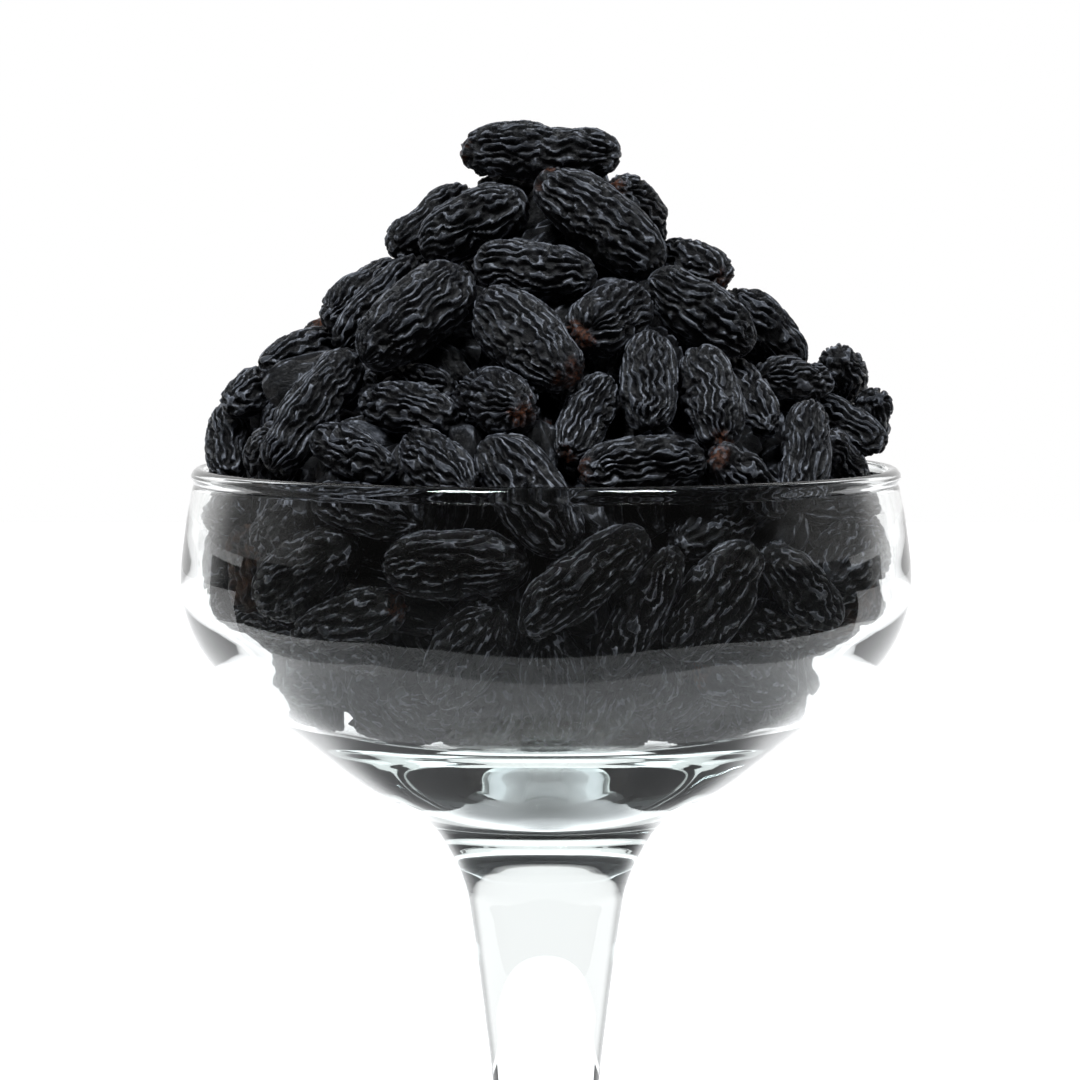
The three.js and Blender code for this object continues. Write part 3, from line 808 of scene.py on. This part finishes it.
def noise(points: np.ndarray, seed: int) -> np.ndarray:
    """Smooth random heights, from about -1 to 1.

    Args:
        points: Places, in cells.
        seed: Which heights.

    Returns:
        One height for each place.
    """
    cell = np.floor(points).astype(np.int64)
    part = points - cell
    ease = part**3 * (part * (part * 6 - 15) + 10)
    total = np.zeros(len(points))
    for corner in product((0, 1), repeat=3):
        key = (cell + corner) @ np.array([73856093, 19349663, 83492791]) + seed * 668265263
        key = (key ^ (key >> 15)) * 2246822519 & 0xFFFFFFFF
        key = (key ^ (key >> 13)) * 3266489917 & 0xFFFFFFFF
        key ^= key >> 16
        slope = np.stack([key & 1023, (key >> 10) & 1023, (key >> 20) & 1023], 1) / 511.5 - 1
        weight = np.prod(np.where(np.array(corner) == 1, ease, 1 - ease), axis=1)
        total += weight * ((part - corner) * slope).sum(1)
    return total * 1.25


def eased(value: np.ndarray, low: float, high: float) -> np.ndarray:
    """Eases from 0 at one limit to 1 at the other."""
    t = np.clip((value - low) / (high - low), 0, 1)
    return t * t * (3 - 2 * t)


@dataclass(frozen=True)
class Grain:
    """How finely a raisin's surface is cut."""

    rings: int
    sides: int


@dataclass
class WrinkledRaisin:
    """The surface of a raisin: a blunt spindle whose skin has dried into wavy folds along it."""

    raisin: Raisin
    grain: Grain
    roundness: float = 2.5
    fold_width: float = 1.25
    fold_depth: float = 1.0
    dent_depth: float = 0.8
    swell_in_heap: float = 0.2
    swell_in_glass: float = 0.45
    off_glass: float = 0.12
    rusty_share: float = 0.12
    closer_outside: float = 0.7
    heart: tuple[float, float, float] = (0.0, 0.0, RIM_HEIGHT - 22.0)

    def skin_line(self) -> np.ndarray:
        """Cuts the spindle's outline into even steps.

        Returns:
            The angles at which it is cut, without its tips.
        """
        fine = np.linspace(0, math.pi, 400)
        outline = self.spindle(fine)
        run = np.concatenate([[0], np.cumsum(np.hypot(*np.diff(outline, axis=0).T))])
        return np.interp(np.linspace(0, run[-1], self.grain.rings + 2)[1:-1], run, fine)

    def spindle(self, angle: np.ndarray) -> np.ndarray:
        """Draws the smooth spindle's outline.

        Args:
            angle: Angles from its right tip, as on an ellipse.

        Returns:
            Places along the axis, and radii.
        """
        along = np.sign(np.cos(angle)) * np.abs(np.cos(angle)) ** (2 / self.roundness)
        radius = np.abs(np.sin(angle)) ** (2 / self.roundness)
        return np.stack([along * self.raisin.length / 2, radius * self.raisin.width / 2], 1)

    def turns(self) -> np.ndarray:
        """Cuts the way round the axis, more finely where the surface faces out of the pile.

        Returns:
            The angles at which it is cut.
        """
        out = self.raisin.centre - np.array(self.heart)
        frame_of = self.own_frame()
        middle = math.atan2(float(frame_of[2] @ out), float(frame_of[1] @ out))
        fine = np.linspace(0, 2 * math.pi, 720)
        even = np.arange(self.grain.sides) * 2 * math.pi / self.grain.sides
        return np.interp(even, fine + self.closer_outside * np.sin(fine), fine) + middle

    def folds(self, smooth: np.ndarray, turn: np.ndarray, draws: Draws) -> np.ndarray:
        """Works out where the skin's folds stand up.

        Args:
            smooth: Places on the smooth spindle.
            turn: Their angles round the axis.
            draws: Random numbers of this raisin.

        Returns:
            Height of the folds at each place, from 0 in a groove to 1 on a crest.
        """
        half, thin = self.raisin.length / 2, self.raisin.width / 2
        seed = 100 + 7 * self.raisin.index
        where = smooth + np.array([draws.between(-50, 50) for _ in range(3)])
        count = round(2 * math.pi * thin / (self.fold_width * draws.between(0.88, 1.14)))
        slant, sway = draws.between(-0.04, 0.04), draws.between(0.7, 1.6)
        wander = sway * noise(where / 4.5, seed) + 0.85 * noise(where / [1.5, 2.2, 2.2], seed + 1)
        wander += 0.25 * noise(where / 0.9, seed + 2)
        striped = np.cos(count * (turn + slant * smooth[:, 0]) + 2 * math.pi * wander)
        striped += 1.8 * noise(where / [2.4, 1.0, 1.0], seed + 3)
        netted = 2.6 * noise(where / 0.85, seed + 4) + 0.2
        calm = noise(where / 3.0, seed + 5)
        end = eased(np.abs(smooth[:, 0]) / half + 0.25 * calm, 0.72, 0.95)
        mixed = striped * (1 - end) + netted * end
        return eased(mixed, -0.65, 0.60) * 0.85 + eased(mixed, 0.4, 1.6) * 0.15

    def surface(self) -> tuple[np.ndarray, dict[str, np.ndarray]]:
        """Wrinkles the spindle.

        Returns:
            The vertices in place, and the values that the finish reads on them.
        """
        draws = Draws(5000 + 91 * self.raisin.index)
        spindle = self.spindle(self.skin_line())
        turn = self.turns()
        along, radius = spindle[:, :1], spindle[:, 1:]
        rings = np.stack([along + 0 * turn, radius * np.cos(turn), radius * np.sin(turn)], -1)
        half, thin = self.raisin.length / 2, self.raisin.width / 2
        smooth = np.vstack([rings.reshape(-1, 3), [[half, 0, 0], [-half, 0, 0]]])
        turn = np.concatenate([np.tile(turn, len(spindle)), [0.0, 0.0]])
        power = self.roundness - 1
        reach = np.hypot(smooth[:, 1], smooth[:, 2]) / thin
        ahead = np.sign(smooth[:, 0]) * np.abs(smooth[:, 0] / half) ** power / half
        normal = np.column_stack([ahead, smooth[:, 1:] * reach[:, None] ** (power - 1) / thin**2])
        normal /= np.linalg.norm(normal, axis=1)[:, None]
        seed = 300 + 7 * self.raisin.index
        offset = np.array([draws.between(-50, 50) for _ in range(3)])
        where = smooth + offset
        fold = self.folds(smooth, turn, draws)
        dents = eased(noise(where / 5.5, seed), 0.0, 0.6) * self.dent_depth
        depth = (1 - fold) * self.fold_depth * (0.85 + 0.5 * noise(where / 4, seed + 1)) + dents
        depth *= 0.45 + 0.55 * eased(reach, 0.0, 0.6)
        ragged = 0.15 * noise(where / 1.6, seed + 2)
        scar = eased(smooth[:, 0] / half * self.rusty_end(draws) + ragged, 0.90, 1.02)
        brown = np.full(len(smooth), 1.0 if self.raisin.index in BROWN else 0.0)
        values = {"local": where, "fold": fold, "scar": scar, "brown": brown}
        swell = self.swell_in_heap if self.raisin.centre[2] > RIM_HEIGHT else self.swell_in_glass
        points = self.placed(smooth + normal * (swell - depth)[:, None])
        return self.pressed(points), values

    def rusty_end(self, draws: Draws) -> int:
        """Chooses the end at which the skin is rust-brown.

        Args:
            draws: Random numbers of this raisin.

        Returns:
            1 for the end that its axis points to, -1 for the other, or 0 for neither.
        """
        has_one, way = draws.between() < self.rusty_share, 1 if draws.between() < 0.5 else -1
        if self.raisin.index in RUSTY:
            return RUSTY[self.raisin.index] * (-1 if self.raisin.axis[0] < 0 else 1)
        return has_one * way

    def pressed(self, points: np.ndarray) -> np.ndarray:
        """Flattens against the glass what would reach into it.

        Args:
            points: The raisin's vertices in place.

        Returns:
            The vertices, moved where they have to be.
        """
        radius = np.hypot(points[:, 0], points[:, 1]) + 1e-9
        out, up = Pile().off_glass(radius, points[:, 2], np.full(len(points), self.off_glass))
        inward = np.minimum(out, 0) / radius
        return points + np.stack([points[:, 0] * inward, points[:, 1] * inward, up], 1)

    def own_frame(self) -> np.ndarray:
        """Finds the raisin's own axes.

        Returns:
            One axis in each row, the first along the raisin.
        """
        ahead = self.raisin.axis
        side = np.cross([0.0, 0.0, 1.0] if abs(ahead[2]) < 0.9 else [0.0, 1.0, 0.0], ahead)
        side /= np.linalg.norm(side)
        return np.stack([ahead, side, np.cross(ahead, side)])

    def placed(self, points: np.ndarray) -> np.ndarray:
        """Turns points from along X to the raisin's own axis and moves them to its place."""
        return self.raisin.centre + points @ self.own_frame()


@dataclass
class RaisinHeap:
    """Every raisin's surface: one piece for each loose raisin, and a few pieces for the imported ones."""

    pile: Pile
    seen_grain: Grain = Grain(56, 104)
    wall_grain: Grain = Grain(38, 68)
    far_grain: Grain = Grain(28, 50)
    packed_grain: Grain = Grain(18, 32)
    under_grain: Grain = Grain(14, 20)
    inner_grain: Grain = Grain(10, 14)

    def grain_of(self, raisin: Raisin, loose: bool) -> Grain:
        """Chooses how finely a raisin is cut, by how much of it shows.

        Args:
            raisin: The raisin.
            loose: Whether it is a node of its own.

        Returns:
            The grain.
        """
        if raisin.layer is Layer.INNER:
            return self.inner_grain
        if raisin.layer is Layer.UNDER:
            return self.under_grain
        if raisin.layer is Layer.SEEN:
            return self.seen_grain if raisin.centre[2] > RIM_HEIGHT - 2 else self.wall_grain
        return self.far_grain if loose else self.packed_grain

    def group_of(self, raisin: Raisin) -> str:
        """Chooses the piece that a packed raisin is part of.

        Args:
            raisin: The raisin.

        Returns:
            The piece's name.
        """
        if raisin.layer in (Layer.UNDER, Layer.INNER):
            return "raisins_inside"
        if raisin.layer is Layer.OUTER:
            return "raisins_far_wall"
        return "raisins_near_wall_left" if raisin.centre[0] < 0 else "raisins_near_wall_right"

    def join(
        self, name: str, members: list[WrinkledRaisin], finish: bpy.types.Material
    ) -> bpy.types.Object:
        """Makes one piece of some raisins.

        Args:
            name: Name of the piece.
            members: Its raisins.
            finish: Its material.

        Returns:
            The piece.
        """
        points, quads, triangles, values = [], [], [], []
        count = 0
        for member in members:
            place, value = member.surface()
            quad, triangle = turned_faces(member.grain.rings, member.grain.sides)
            points.append(place)
            values.append(value)
            quads.append(quad + count)
            triangles.append(triangle + count)
            count += len(place)
        joined = {key: np.concatenate([value[key] for value in values]) for key in values[0]}
        piece = mesh_piece(name, np.vstack(points), np.vstack(quads), np.vstack(triangles), joined)
        piece.data.materials.append(finish)
        return piece

    def build(self, raisins: list[Raisin], finish: bpy.types.Material) -> list[bpy.types.Object]:
        """Makes all the pieces.

        Args:
            raisins: The settled raisins.
            finish: Their material.

        Returns:
            The pieces.
        """
        pieces: list[bpy.types.Object] = []
        loose = [r for r in raisins if self.pile.is_loose(r)]
        for number, raisin in enumerate(loose, 1):
            surface = WrinkledRaisin(raisin, self.grain_of(raisin, True))
            piece = self.join(f"loose_raisin_{number:02d}", [surface], finish)
            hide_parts(f"raisin_{number:02d}")
            pieces.append(piece)
        groups: dict[str, list[WrinkledRaisin]] = {}
        for raisin in raisins:
            if not self.pile.is_loose(raisin):
                surface = WrinkledRaisin(raisin, self.grain_of(raisin, False))
                groups.setdefault(self.group_of(raisin), []).append(surface)
        for name, members in groups.items():
            piece = self.join(name, members, finish)
            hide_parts("raisins_in_bowl")
            pieces.append(piece)
        return pieces


@dataclass(frozen=True)
class Softbox:
    """A soft lamp that points at a spot."""

    name: str
    place: tuple[float, float, float]
    target: tuple[float, float, float]
    size: tuple[float, float]
    power: float
    colour: tuple[float, float, float] = (1.0, 1.0, 1.0)

    def build(self) -> bpy.types.Object:
        """Makes the lamp.

        Returns:
            The lamp.
        """
        data = bpy.data.lights.new(self.name, "AREA")
        data.shape = "RECTANGLE"
        data.size, data.size_y = self.size
        data.energy, data.color = self.power, self.colour
        lamp = add_object(self.name, data)
        aim = np.array(self.target) - np.array(self.place)
        lamp.location = self.place
        lamp.rotation_euler = aim_of(aim)
        return lamp


def aim_of(direction: np.ndarray) -> tuple[float, float, float]:
    """Turns a lamp or camera, which looks down its own -Z, along a direction."""
    flat = math.hypot(direction[0], direction[1])
    return (math.atan2(flat, -direction[2]), 0.0, math.atan2(-direction[0], direction[1]))


@dataclass(frozen=True)
class TableWhite:
    """Finish of the table top: matt white, lit from within except near the glass, in its shadow."""

    colour: Colour = (0.62, 0.62, 0.62, 1.0)
    near_glow: Colour = (0.07, 0.07, 0.07, 1.0)
    far_glow: Colour = (1.0, 1.0, 1.0, 1.0)
    near: float = 0.085
    far: float = 0.175

    def build(self) -> bpy.types.Material:
        """Builds the material.

        Returns:
            The material.
        """
        material = bpy.data.materials.new("table_white")
        g = Graph(material)
        place = g.node("ShaderNodeTexCoord", {}, {}, "Object")
        away = g.node("ShaderNodeVectorMath", {"operation": "LENGTH"}, {0: place}, "Value")
        surface = g.node("ShaderNodeBsdfPrincipled", {}, {
            "Base Color": self.colour, "Roughness": 0.7,
            "Emission Color": g.mix(g.step(away, self.near, self.far), self.near_glow, self.far_glow),
            "Emission Strength": 1.0,
        })
        g.node("ShaderNodeOutputMaterial", {}, {"Surface": surface})
        return material


@dataclass(frozen=True)
class CardBlack:
    """Finish of the dark cards."""

    colour: Colour = (0.01, 0.01, 0.01, 1.0)

    def build(self) -> bpy.types.Material:
        """Builds the material.

        Returns:
            The material.
        """
        material = bpy.data.materials.new("card_black")
        g = Graph(material)
        surface = g.node("ShaderNodeBsdfPrincipled", {}, {"Base Color": self.colour, "Roughness": 0.8})
        g.node("ShaderNodeOutputMaterial", {}, {"Surface": surface})
        return material


@dataclass
class Studio:
    """The white table, the white surround and the lamps."""

    table_half: float = 1.6
    table_height: float = -0.0002
    card_heights: tuple[float, float] = (0.0004, 0.0006)
    front_card: Corners = (
        (0.0, -0.080), (0.06, -0.083), (0.11, -0.07), (0.16, 0.0), (0.24, 0.09), (1.62, 0.6),
        (1.62, -1.62), (0.0, -1.62),
    )
    side_card: Corners = ((0.25, -0.12), (0.75, -0.12), (0.75, 0.63), (0.25, 0.21))
    softboxes: tuple[Softbox, ...] = (
        Softbox("key_left", (-0.45, -0.62, 1.25), (0, 0, 0.13), (0.4, 0.4), 17.0, (0.92, 0.96, 1.0)),
        Softbox("key_right", (0.50, -0.55, 1.25), (0, 0, 0.13), (0.35, 0.4), 11.0, (0.92, 0.96, 1.0)),
    )
    behind: float = 1.0
    beside: float = 0.45
    around: float = 0.03
    soft: float = 0.22
    fill_through_glass: float = 0.85

    def sheet(self, name: str, corners: Corners, height: float) -> bpy.types.Object:
        """Makes a level sheet.

        Args:
            name: Its name.
            corners: Its corners in order.
            height: Its height.

        Returns:
            The sheet.
        """
        mesh = bpy.data.meshes.new(name)
        mesh.from_pydata([(x, y, height) for x, y in corners], [], [tuple(range(len(corners)))])
        made = add_object(name, mesh)
        return made

    def pair_of_cards(self, name: str, corners: Corners, height: float) -> list[bpy.types.Object]:
        """Makes a card on the right side and its mirror image on the left.

        Args:
            name: Start of their names.
            corners: The right card's corners, with the sun.
            height: Their height.

        Returns:
            The two cards, facing up.
        """
        mirrored = tuple((-x, y) for x, y in corners)
        return [
            self.sheet(f"{name}_left", mirrored, height),
            self.sheet(f"{name}_right", corners[::-1], height),
        ]

    def table(self) -> None:
        """Makes the table top, and the dark cards lying on it, which only the glass and the raisins see."""
        half = self.table_half
        square = ((-half, -half), (half, -half), (half, half), (-half, half))
        top = self.sheet("table_top", square, self.table_height)
        top.data.materials.append(TableWhite().build())
        black = CardBlack().build()
        front_cards = self.pair_of_cards("front_card", self.front_card, self.card_heights[0])
        sides = self.pair_of_cards("side_card", self.side_card, self.card_heights[1])
        for card in sides:
            card.visible_glossy = card.visible_diffuse = False
        for card in (*front_cards, *sides):
            card.data.materials.append(black)
            card.visible_camera = card.visible_shadow = False

    def surround(self) -> bpy.types.World:
        """Makes the surround: white to look at and behind the glass, dark where its edges and shine look.

        Returns:
            The world.
        """
        world = bpy.data.worlds.new("surround")
        bpy.context.scene.world = world
        g = Graph(world)
        coordinates = g.node("ShaderNodeTexCoord", {}, {}, "Generated")
        ahead = g.node("ShaderNodeSeparateXYZ", {}, {0: coordinates}, "Y")
        shine = g.step(ahead, 0.45, 0.75) * (self.behind - self.around) + self.around
        through = g.step(ahead, 0.45, 0.68) * (self.behind - self.beside) + self.around
        through = through + self.beside * g.step(ahead, -0.30, 0.10)
        lighting = g.step(g.node("ShaderNodeLightPath", {}, {}, "Diffuse Depth"), 0.2, 0.8)
        through = through + lighting * self.fill_through_glass
        passes = g.node("ShaderNodeLightPath", {}, {}, "Is Transmission Ray")
        spread = g.node("ShaderNodeLightPath", {}, {}, "Is Diffuse Ray")
        camera = g.node("ShaderNodeLightPath", {}, {}, "Is Camera Ray")
        level = shine + passes * (through - shine)
        level = level * (1.0 - spread * (1.0 - self.soft))
        strength = level + camera * (1.0 - level)
        light = g.node("ShaderNodeBackground", {}, {"Color": (1.0, 1.0, 1.0, 1.0), "Strength": strength})
        g.node("ShaderNodeOutputWorld", {}, {"Surface": light})
        return world

    def build(self) -> None:
        """Makes the table, the surround and the lamps."""
        self.table()
        self.surround()
        for softbox in self.softboxes:
            softbox.build()


def make_camera(eye: Eye) -> bpy.types.Object:
    """Makes the camera at the photograph's eye.

    Args:
        eye: The eye.

    Returns:
        The camera.
    """
    data = bpy.data.cameras.new("photo_camera")
    data.sensor_width = 36.0
    data.lens = eye.focal / (2 * eye.middle) * 36.0
    data.clip_start, data.clip_end = 0.01, 20.0
    camera = add_object("photo_camera", data)
    camera.location = np.array(eye.place) * METRES
    camera.rotation_euler = (math.pi / 2 - eye.pitch, 0.0, 0.0)
    bpy.context.scene.camera = camera
    return camera


def main() -> None:
    """Builds the glass, the raisins, the studio and the camera."""
    logging.basicConfig(level=logging.INFO, format="%(message)s")
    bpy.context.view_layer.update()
    eye = Eye()
    glass = Coupe().build(ClearGlass().build())
    LOG.info("%s: %d faces", glass.name, len(glass.data.polygons))
    pile = Pile()
    raisins = pile.lay(eye)
    LOG.info("%d raisins laid", len(raisins))
    for piece in RaisinHeap(pile).build(raisins, RaisinSkin().build()):
        LOG.info("%s: %d faces", piece.name, len(piece.data.polygons))
    Studio().build()
    bpy.context.scene.view_settings.view_transform = "Standard"
    make_camera(eye)


if __name__ == "__main__":
    main()
